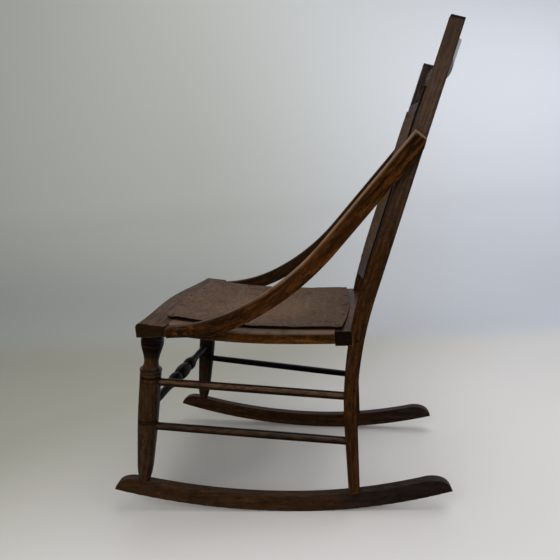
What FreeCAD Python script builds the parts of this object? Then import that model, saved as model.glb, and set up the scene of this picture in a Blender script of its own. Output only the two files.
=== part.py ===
import FreeCAD, Part
import math
import os

# Pressed back rocking chair, millimetres and degrees.
# +Z is up, the chair faces -Y, and +X is the sitter's left. Left pieces are drawn and mirrored.

# Rockers: two boards on edge, curved underneath, toed in towards the back
rocker_front_radius = 1450.0
rocker_rear_radius = 1130.0
rocker_front_past_leg = 66.0
rocker_rear_past_post = 195.0
rocker_depth = 36.0
rocker_thick = 20.0
rocker_front_nose = 45.0
rocker_rear_nose = 40.0
rocker_nose_fullness = 0.85
balance_y = 26.0
rocker_edge_round = 2.0

# Front legs: turned, leaning back and in towards the seat
leg_top_end_inset = 29.0
leg_top_back_inset = 38.0
leg_splay = 7.0
leg_lean = 57.0
leg_toe_dia = 13.0
leg_foot_dia = 26.5
leg_ankle_dia = 35.0
leg_shaft_dia = 43.0
leg_shoulder_dia = 43.5
leg_groove_dia = 40.5
leg_ring_dia = 45.0
leg_ring_edge_dia = 42.5
leg_collar_dia = 38.0
leg_neck_dia = 31.0
leg_bulb_dia = 44.0
leg_head_dia = 37.0
leg_foot_sink = 8.0
leg_foot_rise = 9.0
leg_ankle_rise = 46.0
leg_shaft_rise = 150.0
leg_ring_drop = 78.0
leg_ring_width = 6.5
leg_groove_width = 3.0
leg_neck_above_ring = 11.0
leg_bulb_above_neck = 41.0
leg_score_spread = 5.0
leg_score_radius = 0.7
leg_top_tenon_dia = 22.0
leg_top_tenon_len = 13.0
leg_foot_tenon_dia = 12.0
leg_foot_tenon_len = 17.0
leg_tenon_root = 9.0

# Rear posts: upright below the seat, bent through the rake, straight above
post_half = 174.0
post_thick = 26.0
post_foot_y = 139.0
post_bend_z = 190.0
post_bend_radius = 833.0
post_rake = 19.5
post_top_z = 918.0
post_foot_depth = 22.0
post_bend_depth = 26.0
post_seat_depth = 30.0
post_top_depth = 24.5
post_foot_sink = 10.0
post_edge_round = 3.0

# Seat frame: its top follows one dished curve from front to back
seat_height = 425.5
seat_front_drop = 8.0
seat_slope_drop = 25.0
seat_slope_back = 112.0
seat_dip_drop = 33.5
seat_dip_back = 212.0
seat_rear_drop = 37.0
seat_curve_reach = 20.0
seat_curve_tilt = 3.0
front_rail_half = 226.0
front_rail_back_y = -208.0
front_rail_end_width = 60.0
front_rail_bow = 15.0
front_rail_high = 29.0
front_rail_nose = 9.0
side_rail_width = 45.0
side_rail_thick = 24.0
side_rail_round = 7.0
rear_rail_housing = 9.4
rear_rail_lap = 33.0
rear_rail_tongue = 22.0
rear_rail_high = 30.0

# Seat panel: thin pressed sheet nailed over the frame
seat_panel_thick = 4.5
seat_panel_front_side_gap = 28.0
seat_panel_rear_side_gap = 14.0
seat_panel_front_lap = 12.0
seat_panel_front_bow = 18.0
seat_panel_rear_lap = 14.0
seat_panel_rear_bow = 11.0

# Hip rails: sawn to a sweep, from the seat front up to the back posts
hip_thick = 20.0
hip_width = 32.0
hip_front_high = 21.0
hip_top_step = 2.5
hip_low_radius = 360.0
hip_low_turn = 24.0
hip_high_radius = 520.0
hip_rise = 47.0
hip_end_past_post = 10.0
hip_end_chamfer = 4.0
hip_end_clip = 8.0
hip_end_clip_long = 17.0
hip_edge_round = 5.0
hip_lower_screw_back = 29.0
hip_upper_screw_back = 27.0

# Back: three bowed rails between the posts, with a sheet over the lower two
crest_below_post_top = 18.0
crest_set_back = -2.0
crest_thick = 14.0
crest_bow = 21.0
crest_end_height = 35.0
crest_mid_height = 66.0
hand_gap = 43.0
panel_rail_set_back = -13.5
panel_rail_thick = 18.0
panel_rail_bow = 22.0
middle_end_height = 36.0
middle_mid_height = 58.0
lower_above_seat = 41.8
lower_height = 62.0
rail_top_round = 4.0
rail_tenon_thick = 8.0
rail_tenon_len = 12.0
rail_tenon_shoulder = 5.0
rail_tenon_inset = 4.5
back_panel_thick = 4.0
back_panel_low_lap = 22.0
back_panel_high_lap = 19.0
back_panel_side_gap = 3.0

# Rungs between the legs and posts
rung_dia = 16.8
rung_end_dia = 16.0
rung_leg_short = 4.0
rung_socket = 27.0
rung_post_depth = 13.0
upper_rung_leg_z = 294.5
upper_rung_post_z = 249.0
lower_rung_leg_z = 197.5
lower_rung_post_z = 152.0
front_rung_z = 236.0
front_rung_waist_dia = 17.5
front_rung_neck_dia = 21.0
front_rung_bulb_dia = 31.0
front_rung_bulb_off = 48.0
front_rung_bulb_long = 30.0
front_rung_barrel_dia = 33.0
front_rung_barrel_edge_dia = 27.0
front_rung_barrel_width = 52.0
front_rung_barrel_gap = 4.0
rear_rung_z = 215.0

# Fastenings
dowel_dia = 8.0
dowel_len = 40.0
dowel_spread = 22.0
post_dowel_dia = 9.0
post_dowel_len = 44.0
post_dowel_sink = 19.5
nail_dia = 3.0
nail_head_dia = 6.0
nail_head_high = 1.0
nail_len = 52.0
nail_back = 8.8
nail_up = 9.0
tack_dia = 1.6
tack_tip_dia = 0.5
tack_head_dia = 6.0
tack_head_high = 1.3
tack_len = 15.0
tack_inset = 9.0
seat_tack_pitch = 76.0
back_tack_pitch = 62.0
screw_dia = 4.5
screw_head_dia = 8.4
screw_head_len = 3.5
screw_len = 22.0
plug_dia = 13.0
plug_len = 6.0

# Clearances
joint_clear = 0.2
sheet_clear = 0.2


def vec(x, y, z):
    return FreeCAD.Vector(x, y, z)


ORIGIN = vec(0, 0, 0)
UP = vec(0, 0, 1)
ACROSS = vec(1, 0, 0)
THIN = 0.1
SAME = 1e-6


def rod(start, end, dia):
    along = end - start
    return Part.makeCylinder(dia / 2, along.Length, start, along)


def block(low, high):
    size = high - low
    return Part.makeBox(size.x, size.y, size.z, low)


def mirrored(shape):
    return shape.mirror(ORIGIN, ACROSS)


def spline(points):
    curve = Part.BSplineCurve()
    curve.interpolate(points)
    return curve.toShape()


def line(a, b):
    return Part.LineSegment(a, b).toShape()


def arc(a, mid, b):
    return Part.Arc(a, mid, b).toShape()


def polygon(points):
    return [line(a, b) for a, b in zip(points, points[1:] + points[:1])]


def swept(edges, along):
    return Part.Face(Part.Wire(Part.__sortEdges__(edges))).extrude(along)


def plan(edges, low, high):
    """Upright solid on a closed outline of edges drawn at height zero."""
    solid = swept(edges, UP * (high - low))
    solid.translate(UP * low)
    return solid


def turned(start, end, runs):
    """Solid of revolution from start to end; each run holds (distance from start, diameter)."""
    pts = [[vec(dia / 2, 0, s) for s, dia in run] for run in runs]
    edges = []
    for i, run in enumerate(pts):
        edges.append(spline(run) if len(run) > 2 else line(run[0], run[1]))
        if i + 1 < len(pts) and (pts[i + 1][0] - run[-1]).Length > SAME:
            edges.append(line(run[-1], pts[i + 1][0]))
    low = pts[0][0]
    high = pts[-1][-1]
    edges.append(line(high, UP * high.z))
    edges.append(line(UP * high.z, UP * low.z))
    edges.append(line(UP * low.z, low))
    solid = Part.Face(Part.Wire(edges)).revolve(ORIGIN, UP, 360)
    solid.Placement = FreeCAD.Placement(start, FreeCAD.Rotation(UP, end - start))
    return solid


def rounded(shape, radius, wanted):
    return shape.makeFillet(radius, [e for e in shape.Edges if wanted(e)])


def is_outline(e):
    """Edges of a board's two faces, not those across its thickness."""
    return e.BoundBox.XLength < THIN


def swell(share):
    """Serpentine line: one in the middle, falling to zero at share -1 and +1."""
    return (1 + math.cos(math.pi * share)) / 2


SWELL_SHARES = [i / 4 for i in range(-4, 5)]


def along_line(a, b, z):
    """Point of the line from a to b at height z."""
    return a + (b - a) * ((z - a.z) / (b.z - a.z))


def crossing(a, way, b, other_way):
    """Point in the YZ plane where the line from a along way meets the line from b along other_way."""
    gap = b - a
    run = (gap.y * other_way.z - gap.z * other_way.y) / (way.y * other_way.z - way.z * other_way.y)
    return a + way * run


nodes = {}


def keep(name, shape):
    nodes[name] = shape


def keep_pair(name, shape):
    keep(name + "_left", shape)
    keep(name + "_right", mirrored(shape))


def keep_group(name, solids):
    keep(name, Part.makeCompound(solids))


def keep_group_both_sides(name, solids):
    keep_group(name, solids + [mirrored(s) for s in solids])


# Middle line of the rear posts: upright, a bend, then straight along the rake
rake = math.radians(post_rake)
bend_centre = vec(0, post_foot_y + post_bend_radius, post_bend_z)
bend_end = bend_centre + vec(0, -math.cos(rake), math.sin(rake)) * post_bend_radius
raked_way = vec(0, math.sin(rake), math.cos(rake))
raked_back = vec(0, math.cos(rake), -math.sin(rake))
raked_long = (post_top_z - bend_end.z) / math.cos(rake)
raked_top = bend_end + raked_way * raked_long
post_inner = post_half - post_thick / 2
post_outer = post_half + post_thick / 2


def post_mid(z):
    """Point of the post's middle line at a height below the end of the bend."""
    y = post_foot_y
    if z > post_bend_z:
        y = bend_centre.y - math.sqrt(post_bend_radius ** 2 - (z - post_bend_z) ** 2)
    return vec(post_half, y, z)


# Heights of the seat frame and places of its rails from front to back
seat_front_z = seat_height - seat_front_drop
seat_rear_z = seat_height - seat_rear_drop
front_rail_under_z = seat_height - front_rail_high
rear_rail_under_z = seat_rear_z - rear_rail_high
front_rail_front_y = front_rail_back_y - front_rail_end_width
rear_rail_notch_y = post_mid((seat_rear_z + rear_rail_under_z) / 2).y - rear_rail_housing
rear_rail_front_y = rear_rail_notch_y - rear_rail_lap
rear_rail_back_y = rear_rail_notch_y + rear_rail_tongue

# Feet of the front legs, and the rockers' middle lines in plan through the legs' and posts' feet
leg_top_half = front_rail_half - leg_top_end_inset
leg_top_y = front_rail_back_y - leg_top_back_inset
leg_foot_half = leg_top_half + leg_splay
leg_foot_y = leg_top_y - leg_lean
rocker_toe = math.atan2(leg_foot_half - post_half, post_foot_y - leg_foot_y)
rocker_front = (leg_foot_y - rocker_front_past_leg - balance_y) / math.cos(rocker_toe)
rocker_rear = (post_foot_y + rocker_rear_past_post - balance_y) / math.cos(rocker_toe)


# Rocker outline, drawn in its own board with the lowest point at the origin
def rocker_radius(u):
    return rocker_front_radius if u < 0 else rocker_rear_radius


def under_point(u):
    radius = rocker_radius(u)
    return vec(0, u, radius - math.sqrt(radius ** 2 - u ** 2))


def over_point(u):
    """Point of the top edge whose line to the curve's centre crosses the underside at u."""
    radius = rocker_radius(u)
    under = under_point(u)
    return under + (UP * radius - under) * (rocker_depth / radius)


def rocker_nose(end, top):
    """Rounded end, from the tip of the underside to the start of the top edge."""
    tip = under_point(end)
    curve = Part.BezierCurve()
    curve.setPoles([tip, tip + (over_point(end) - tip) * rocker_nose_fullness, over_point(top)])
    return curve.toShape()


def rocker_board(thick):
    front_top = rocker_front + rocker_front_nose
    rear_top = rocker_rear - rocker_rear_nose
    board = swept([
        arc(under_point(rocker_front), under_point(rocker_front / 2), under_point(0)),
        arc(under_point(0), under_point(rocker_rear / 2), under_point(rocker_rear)),
        rocker_nose(rocker_rear, rear_top),
        arc(over_point(rear_top), over_point(rear_top / 2), over_point(0)),
        arc(over_point(0), over_point(front_top / 2), over_point(front_top)),
        rocker_nose(rocker_front, front_top),
    ], ACROSS * thick)
    board = rounded(board, rocker_edge_round, is_outline)
    board.translate(ACROSS * (-thick / 2))
    board.rotate(ORIGIN, UP, math.degrees(rocker_toe))
    balance_half = post_half + (post_foot_y - balance_y) * math.tan(rocker_toe)
    board.translate(vec(balance_half, balance_y, 0))
    return board


def rocker_top_z(y):
    u = (y - balance_y) / math.cos(rocker_toe)
    radius = rocker_radius(u)
    return radius - math.sqrt((radius - rocker_depth) ** 2 - u ** 2)


rocker = rocker_board(rocker_thick)
foot_cut = rocker_board(rocker_thick + leg_ankle_dia + post_thick)
foot_cut.translate(UP * joint_clear)

# Seat curve: the top of the frame, run a little past the front edge and the rear rail
seat_points = [
    vec(0, front_rail_front_y - seat_curve_reach, seat_height + seat_curve_tilt),
    vec(0, front_rail_front_y + front_rail_nose, seat_height),
    vec(0, front_rail_back_y, seat_front_z),
    vec(0, front_rail_back_y + seat_slope_back, seat_height - seat_slope_drop),
    vec(0, front_rail_back_y + seat_dip_back, seat_height - seat_dip_drop),
    vec(0, rear_rail_front_y, seat_rear_z),
    vec(0, rear_rail_back_y + seat_curve_reach, seat_rear_z - seat_curve_tilt),
]
seat_curve = Part.BSplineCurve()
seat_curve.interpolate(seat_points)


def seat_z(y):
    ray = Part.Line(vec(0, y, 0), vec(0, y, 1))
    return seat_curve.intersect(ray)[0].Z


def seat_slope(y):
    """Angle of the seat curve at y, positive where it rises to the back."""
    step = 1.0
    return math.atan2(seat_z(y + step) - seat_z(y - step), 2 * step)


def seat_band(low, high):
    """Everything between two heights measured from the seat curve."""
    under = seat_curve.toShape()
    over = seat_curve.toShape()
    under.translate(UP * low)
    over.translate(UP * high)
    first = seat_points[0]
    last = seat_points[-1]
    edges = [
        under,
        line(last + UP * low, last + UP * high),
        over,
        line(first + UP * high, first + UP * low),
    ]
    half = front_rail_half + seat_curve_reach
    band = swept(edges, ACROSS * (2 * half))
    band.translate(ACROSS * -half)
    return band


below_seat = seat_band(-seat_height, 0)

# Front legs on their leaning axes
leg_foot = vec(leg_foot_half, leg_foot_y, rocker_top_z(leg_foot_y))
leg_top = vec(leg_top_half, leg_top_y, front_rail_under_z)
leg_way = (leg_top - leg_foot).normalize()
leg_long = (leg_top - leg_foot).Length
ring_s = leg_long - leg_ring_drop
ring_low = ring_s - leg_ring_width / 2
ring_high = ring_s + leg_ring_width / 2
shoulder_s = ring_low - leg_groove_width
neck_s = ring_s + leg_neck_above_ring
bulb_s = neck_s + leg_bulb_above_neck
leg = turned(leg_foot - leg_way * leg_foot_sink, leg_top, [
    [(leg_foot_sink + s, dia) for s, dia in run] for run in [
        [
            (-leg_foot_sink, leg_toe_dia),
            (leg_foot_rise, leg_foot_dia),
            (leg_ankle_rise, leg_ankle_dia),
            (leg_shaft_rise, leg_shaft_dia),
            (shoulder_s, leg_shoulder_dia),
        ],
        [(shoulder_s, leg_groove_dia), (ring_low, leg_groove_dia)],
        [(ring_low, leg_ring_edge_dia), (ring_s, leg_ring_dia), (ring_high, leg_ring_edge_dia)],
        [
            (ring_high, leg_collar_dia),
            (neck_s, leg_neck_dia),
            (bulb_s, leg_bulb_dia),
            (leg_long, leg_head_dia),
        ],
        [(leg_long, leg_head_dia), (leg_long + leg_head_dia / 2, leg_head_dia)],
    ]
])
rail_space = vec(leg_head_dia, leg_head_dia, 0)
leg = leg.cut(block(leg_top - rail_space, leg_top + rail_space + UP * leg_head_dia)).cut(foot_cut)

# Scored lines: one round the shaft and a pair round the bulb
for s, dia in (
    (leg_shaft_rise, leg_shaft_dia),
    (bulb_s - leg_score_spread / 2, leg_bulb_dia),
    (bulb_s + leg_score_spread / 2, leg_bulb_dia),
):
    leg = leg.cut(Part.makeTorus(dia / 2, leg_score_radius, leg_foot + leg_way * s, leg_way))


def leg_peg(root, way, length, dia):
    """Round tenon and its hole on the leg's axis, starting inside the leg."""
    start = root - way * leg_tenon_root
    end = root + way * length
    return rod(start, end, dia), rod(start, end, dia + 2 * joint_clear)


leg_top_tenon, leg_top_hole = leg_peg(leg_top, leg_way, leg_top_tenon_len, leg_top_tenon_dia)
leg_foot_tenon, leg_foot_hole = leg_peg(leg_foot, leg_way * -1, leg_foot_tenon_len, leg_foot_tenon_dia)
leg = leg.fuse([leg_top_tenon, leg_foot_tenon]).removeSplitter()

# Rear posts
post_foot_z = rocker_top_z(post_foot_y)


def bend_offset(share, side):
    """Point beside the bent middle line, side -1 in front and +1 behind."""
    turn = rake * share
    out = vec(0, math.cos(turn), -math.sin(turn))
    depth = post_bend_depth + (post_seat_depth - post_bend_depth) * share
    return bend_centre - out * post_bend_radius + out * (side * depth / 2)


def post_side(side):
    foot = vec(0, post_foot_y + side * post_foot_depth / 2, post_foot_z - post_foot_sink)
    bend = [bend_offset(i / 4, side) for i in range(5)]
    top = raked_top + raked_back * (side * post_top_depth / 2)
    return foot, bend, top


foot_front, bend_front, top_front = post_side(-1)
foot_back, bend_back, top_back = post_side(1)
post = swept([
    line(foot_front, bend_front[0]),
    spline(bend_front),
    line(bend_front[-1], top_front),
    line(top_front, top_back),
    line(top_back, bend_back[-1]),
    spline(bend_back[::-1]),
    line(bend_back[0], foot_back),
    line(foot_back, foot_front),
], ACROSS * post_thick)
post = rounded(post, post_edge_round, lambda e: is_outline(e) and e.BoundBox.ZMax > post_foot_z)
post.translate(ACROSS * post_inner)
post = post.cut(foot_cut)

# Front rail of the seat frame, with a swelling front edge and a rounded nose
front_edge = [
    vec(s * front_rail_half, front_rail_front_y - front_rail_bow * swell(s), 0) for s in SWELL_SHARES
]
back_left = vec(front_rail_half, front_rail_back_y, 0)
back_right = vec(-front_rail_half, front_rail_back_y, 0)
front_rail = plan([
    spline(front_edge),
    line(front_edge[-1], back_left),
    line(back_left, back_right),
    line(back_right, front_edge[0]),
], front_rail_under_z, post_top_z)
front_rail = front_rail.common(below_seat)


def is_front_top(e):
    middle = e.CenterOfMass
    return e.Length > front_rail_half and middle.y < front_rail_front_y and middle.z > seat_front_z


front_rail = rounded(front_rail, front_rail_nose, is_front_top)
front_rail = front_rail.cut([leg_top_hole, mirrored(leg_top_hole)])

# Rear rail: its ends are let into the posts and its tongue passes between them
rear_rail = plan(polygon([
    vec(-post_outer, rear_rail_front_y, 0),
    vec(post_outer, rear_rail_front_y, 0),
    vec(post_outer, rear_rail_notch_y, 0),
    vec(post_inner, rear_rail_notch_y, 0),
    vec(post_inner, rear_rail_back_y, 0),
    vec(-post_inner, rear_rail_back_y, 0),
    vec(-post_inner, rear_rail_notch_y, 0),
    vec(-post_outer, rear_rail_notch_y, 0),
]), rear_rail_under_z, post_top_z)
rear_rail = rear_rail.common(below_seat)
post = post.cut(rear_rail)

# Hip rail outline on its own board: distance behind the front rail, and height
low_turn = math.radians(hip_low_turn)
rise = math.radians(hip_rise)
hip_top_z = seat_front_z - hip_top_step
hip_under_z = hip_top_z - hip_front_high
low_centre = UP * (hip_top_z + hip_low_radius)
turn_end_way = vec(0, math.sin(low_turn), -math.cos(low_turn))
high_centre = low_centre + turn_end_way * (hip_low_radius - hip_high_radius)


def hip_low_point(turn, below):
    return low_centre + vec(0, math.sin(turn), -math.cos(turn)) * (hip_low_radius + below)


def hip_high_point(turn, below):
    return high_centre + vec(0, math.sin(turn), -math.cos(turn)) * (hip_high_radius + below)


rise_way = vec(0, math.cos(rise), math.sin(rise))
rise_down = vec(0, math.sin(rise), -math.cos(rise))
post_on_board = bend_end - vec(0, front_rail_back_y, 0)
hip_end = crossing(hip_high_point(rise, hip_width / 2), rise_way, post_on_board, raked_way)
hip_end += rise_way * hip_end_past_post
hip_end_top = hip_end - rise_down * (hip_width / 2)
hip_end_low = hip_end + rise_down * (hip_width / 2)
clip_top = hip_end_low - rise_down * hip_end_clip
clip_low = hip_end_low - rise_way * hip_end_clip_long

# The rail meets the post where its underside reaches the post's front face.
# Its inner face and the side rail's outer face share one upright plane.
post_front = post_on_board - raked_back * (post_seat_depth / 2)
meet_u = crossing(hip_high_point(rise, hip_width), rise_way, post_front, raked_way).y
hip_front = vec(front_rail_half - hip_thick, front_rail_back_y, 0)
hip_meet = vec(post_outer, front_rail_back_y + meet_u, 0)
hip_way = (hip_meet - hip_front).normalize()
hip_out = vec(hip_way.y, -hip_way.x, 0)
hip_yaw = math.degrees(math.atan2(-hip_way.x, hip_way.y))
flat_turn = math.acos((low_centre.z - hip_under_z) / (hip_low_radius + hip_width))
high_turn = (low_turn + rise) / 2
hip_rail = swept([
    arc(hip_low_point(0, 0), hip_low_point(low_turn / 2, 0), hip_low_point(low_turn, 0)),
    arc(hip_high_point(low_turn, 0), hip_high_point(high_turn, 0), hip_high_point(rise, 0)),
    line(hip_high_point(rise, 0), hip_end_top),
    line(hip_end_top, clip_top),
    line(clip_top, clip_low),
    line(clip_low, hip_high_point(rise, hip_width)),
    arc(
        hip_high_point(rise, hip_width),
        hip_high_point(high_turn, hip_width),
        hip_high_point(low_turn, hip_width),
    ),
    arc(
        hip_low_point(low_turn, hip_width),
        hip_low_point((low_turn + flat_turn) / 2, hip_width),
        hip_low_point(flat_turn, hip_width),
    ),
    line(hip_low_point(flat_turn, hip_width), UP * hip_under_z),
    line(UP * hip_under_z, hip_low_point(0, 0)),
], ACROSS * hip_thick)


def is_hip_end(e):
    """Edge across the end, on the outer face."""
    middle = e.CenterOfMass
    return middle.x > hip_thick - THIN and abs((middle - hip_end).dot(rise_way)) < THIN


def is_hip_top(e):
    """Long edges on the upper side of the sweep."""
    if e.BoundBox.XLength > THIN or e.Length < 2 * hip_width:
        return False
    middle = e.valueAt((e.FirstParameter + e.LastParameter) / 2)
    flat = vec(0, middle.y, middle.z)
    off_low = abs((flat - low_centre).Length - hip_low_radius)
    off_high = abs((flat - high_centre).Length - hip_high_radius)
    off_line = abs((flat - hip_end_top).dot(rise_down))
    return min(off_low, off_high, off_line) < THIN


hip_rail = hip_rail.makeChamfer(hip_end_chamfer, [e for e in hip_rail.Edges if is_hip_end(e)])
hip_rail = rounded(hip_rail, hip_edge_round, is_hip_top)
hip_rail.rotate(ORIGIN, UP, hip_yaw)
hip_rail.translate(hip_front)
post_space = block(vec(0, front_rail_back_y, 0), vec(post_outer, raked_top.y, post_top_z))
hip_rail = hip_rail.cut(post_space)


def on_hip(u, z, out):
    return hip_front + hip_way * u + hip_out * out + UP * z


# Screws through the hip rail, each under a plug: lower into the side rail, upper into the post
upper_spot = hip_end - rise_way * hip_upper_screw_back
screws = []
plugs = []
for u, z in ((hip_lower_screw_back, (hip_top_z + hip_under_z) / 2), (upper_spot.y, upper_spot.z)):
    face = on_hip(u, z, hip_thick)
    plug_low = face - hip_out * plug_len
    head_low = plug_low - hip_out * screw_head_len
    tip = head_low - hip_out * screw_len
    plugs.append(rod(plug_low, face, plug_dia))
    screw = rod(head_low, plug_low, screw_head_dia).fuse(rod(tip, plug_low, screw_dia))
    screws.append(screw.removeSplitter())
    hip_rail = hip_rail.cut([
        rod(head_low, face + hip_out, plug_dia + 2 * joint_clear),
        rod(tip, face, screw_dia + 2 * joint_clear),
    ])

# Seat side rails, beside the hip rails' inner faces
side_share = (rear_rail_front_y - hip_front.y) / (hip_meet.y - hip_front.y)
side_back = hip_front + (hip_meet - hip_front) * side_share
side_in = ACROSS * -side_rail_width
side_rail = plan(polygon([hip_front, side_back, side_back + side_in, hip_front + side_in]), 0, post_top_z)
side_rail = side_rail.common(seat_band(-side_rail_thick, 0))


def is_side_top(e):
    """Long upper edge of the outer face."""
    middle = e.CenterOfMass
    off_face = abs((middle - hip_front).dot(hip_out))
    is_upper = middle.z > seat_z(middle.y) - side_rail_thick / 2
    return is_upper and off_face < THIN and e.Length > side_rail_width


side_rail = rounded(side_rail, side_rail_round, is_side_top)

# Dowels across the ends of the side rails
dowels = []
front_dowel_z = (seat_front_z + front_rail_under_z) / 2
rear_dowel_z = seat_rear_z - side_rail_thick / 2
for end, z in ((hip_front, front_dowel_z), (side_back, rear_dowel_z)):
    for shift in (-dowel_spread / 2, dowel_spread / 2):
        middle = end + side_in / 2 + vec(shift, 0, z)
        half = vec(0, dowel_len / 2, 0)
        dowels.append(rod(middle - half, middle + half, dowel_dia))
        hole = rod(middle - half, middle + half, dowel_dia + 2 * joint_clear)
        side_rail = side_rail.cut(hole)
        front_rail = front_rail.cut([hole, mirrored(hole)])
        rear_rail = rear_rail.cut([hole, mirrored(hole)])

# Seat panel, following the seat curve
panel_front_half = hip_front.x - seat_panel_front_side_gap
panel_rear_half = side_back.x - seat_panel_rear_side_gap
panel_front_y = front_rail_back_y - seat_panel_front_lap
panel_rear_y = rear_rail_front_y + seat_panel_rear_lap
panel_corners = [
    vec(-panel_front_half, panel_front_y, 0),
    vec(panel_front_half, panel_front_y, 0),
    vec(panel_rear_half, panel_rear_y, 0),
    vec(-panel_rear_half, panel_rear_y, 0),
]
seat_panel = plan([
    arc(panel_corners[0], vec(0, panel_front_y - seat_panel_front_bow, 0), panel_corners[1]),
    line(panel_corners[1], panel_corners[2]),
    arc(panel_corners[2], vec(0, panel_rear_y + seat_panel_rear_bow, 0), panel_corners[3]),
    line(panel_corners[3], panel_corners[0]),
], 0, post_top_z)
seat_panel = seat_panel.common(seat_band(sheet_clear, sheet_clear + seat_panel_thick))

# Dowels between the posts and the rockers
post_dowel_low = vec(post_half, post_foot_y, post_foot_z - post_dowel_sink)
post_dowel_high = post_dowel_low + UP * post_dowel_len
post_dowel = rod(post_dowel_low, post_dowel_high, post_dowel_dia)
post_dowel_hole = rod(post_dowel_low, post_dowel_high, post_dowel_dia + 2 * joint_clear)
post = post.cut(post_dowel_hole)
rocker = rocker.cut([post_dowel_hole, leg_foot_hole])

# Nails through the sides of the posts into the tongue of the rear rail
nail_face = vec(post_outer, rear_rail_notch_y + nail_back, rear_rail_under_z + nail_up)
nail = rod(nail_face - ACROSS * nail_len, nail_face, nail_dia)
nail = nail.fuse(rod(nail_face, nail_face + ACROSS * nail_head_high, nail_head_dia)).removeSplitter()


# Rungs: slim at both sockets, thickest in the middle
def plain_rung(start, end):
    long = (end - start).Length
    return turned(start, end, [
        [(0, rung_end_dia), (rung_socket, rung_end_dia)],
        [(rung_socket, rung_end_dia), (long / 2, rung_dia), (long - rung_socket, rung_end_dia)],
        [(long - rung_socket, rung_end_dia), (long, rung_end_dia)],
    ])


def rung_hole(end, way):
    return rod(end, end + way * rung_socket, rung_end_dia + 2 * joint_clear)


leg_holes = []
post_holes = []
side_rungs = []
for leg_z, post_z in ((upper_rung_leg_z, upper_rung_post_z), (lower_rung_leg_z, lower_rung_post_z)):
    at_leg = along_line(leg_foot, leg_top, leg_z)
    at_post = post_mid(post_z)
    rung_way = (at_post - at_leg).normalize()
    start = at_leg + rung_way * rung_leg_short
    side_rungs.append(plain_rung(start, at_post))
    leg_holes.append(rung_hole(start, rung_way))
    post_holes.append(rung_hole(at_post, rung_way * -1))

# Front rung, with a barrel in the middle between two bulbs
front_end = along_line(leg_foot, leg_top, front_rung_z) - ACROSS * rung_leg_short
front_start = vec(-front_end.x, front_end.y, front_end.z)
front_mid = front_end.x
bulb_mid = front_mid - front_rung_bulb_off
bulb_end = bulb_mid - front_rung_bulb_long
barrel_half = front_rung_barrel_width / 2
half_runs = [
    [(0, rung_end_dia), (rung_socket, rung_end_dia)],
    [
        (rung_socket, rung_end_dia),
        ((rung_socket + bulb_end) / 2, front_rung_waist_dia),
        (bulb_end, front_rung_neck_dia),
        (bulb_mid, front_rung_bulb_dia),
        (front_mid - barrel_half - front_rung_barrel_gap, front_rung_neck_dia),
    ],
]
barrel_run = [
    (front_mid - barrel_half, front_rung_barrel_edge_dia),
    (front_mid, front_rung_barrel_dia),
    (front_mid + barrel_half, front_rung_barrel_edge_dia),
]
other_runs = [[(2 * front_mid - s, dia) for s, dia in run[::-1]] for run in half_runs[::-1]]
front_rung = turned(front_start, front_end, half_runs + [barrel_run] + other_runs)
leg_holes.append(rung_hole(front_end, ACROSS * -1))

rear_end = vec(post_inner + rung_post_depth, post_mid(rear_rung_z).y, rear_rung_z)
rear_rung = plain_rung(vec(-rear_end.x, rear_end.y, rear_end.z), rear_end)
post_holes.append(rung_hole(rear_end, ACROSS * -1))
leg = leg.cut(leg_holes)
post = post.cut(post_holes)


# Back rails, drawn upright with x across, y behind the posts' middle line, z along the rake
def place_back(shape):
    shape.rotate(ORIGIN, ACROSS, -post_rake)
    shape.translate(bend_end)
    return shape


def bow_centre(front, bow):
    radius = (post_inner ** 2 + bow ** 2) / (2 * bow)
    return radius, front + bow - radius


def bow_point(x, radius, centre):
    return vec(x, centre + math.sqrt(radius ** 2 - x ** 2), 0)


def bowed(radius, centre, thick, half, low, high):
    inner = [bow_point(x, radius, centre) for x in (-half, 0, half)]
    outer = [bow_point(x, radius + thick, centre) for x in (half, 0, -half)]
    return plan([arc(*inner), line(inner[2], outer[0]), arc(*outer), line(outer[2], inner[0])], low, high)


def crowned(rail, low, end_height, mid_height):
    """Cut the top of a rail to a serpentine line, high in the middle."""
    deep = vec(0, post_inner, 0)
    top = [
        vec(s * post_inner, 0, low + end_height + (mid_height - end_height) * swell(s)) - deep
        for s in SWELL_SHARES
    ]
    left = vec(post_inner, 0, low) - deep
    right = vec(-post_inner, 0, low) - deep
    outline = [spline(top), line(top[-1], left), line(left, right), line(right, top[0])]
    rail = rail.common(swept(outline, deep * 2))
    top_low = low + end_height - THIN

    def is_top(e):
        return e.BoundBox.ZMin > top_low and e.BoundBox.XLength > post_inner

    return rounded(rail, rail_top_round, is_top)


def with_tenons(rail, front, low, height):
    """Rail with a tenon on each end, placed on the chair, and the left tenon alone."""
    tenon_front = front + rail_tenon_inset
    tenon = place_back(block(
        vec(post_inner - rail_tenon_inset, tenon_front, low + rail_tenon_shoulder),
        vec(post_inner + rail_tenon_len, tenon_front + rail_tenon_thick, low + height - rail_tenon_shoulder),
    ))
    return place_back(rail).fuse([tenon, mirrored(tenon)]).removeSplitter(), tenon


crest_low = raked_long - crest_below_post_top - crest_end_height
middle_low = crest_low - hand_gap - middle_end_height
lower_low = (seat_rear_z + lower_above_seat - bend_end.z) / math.cos(rake)
crest_radius, crest_centre = bow_centre(crest_set_back, crest_bow)
crest = bowed(crest_radius, crest_centre, crest_thick, post_inner, crest_low, crest_low + crest_mid_height)
crest = crowned(crest, crest_low, crest_end_height, crest_mid_height)
crest, crest_tenon = with_tenons(crest, crest_set_back, crest_low, crest_end_height)

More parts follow.
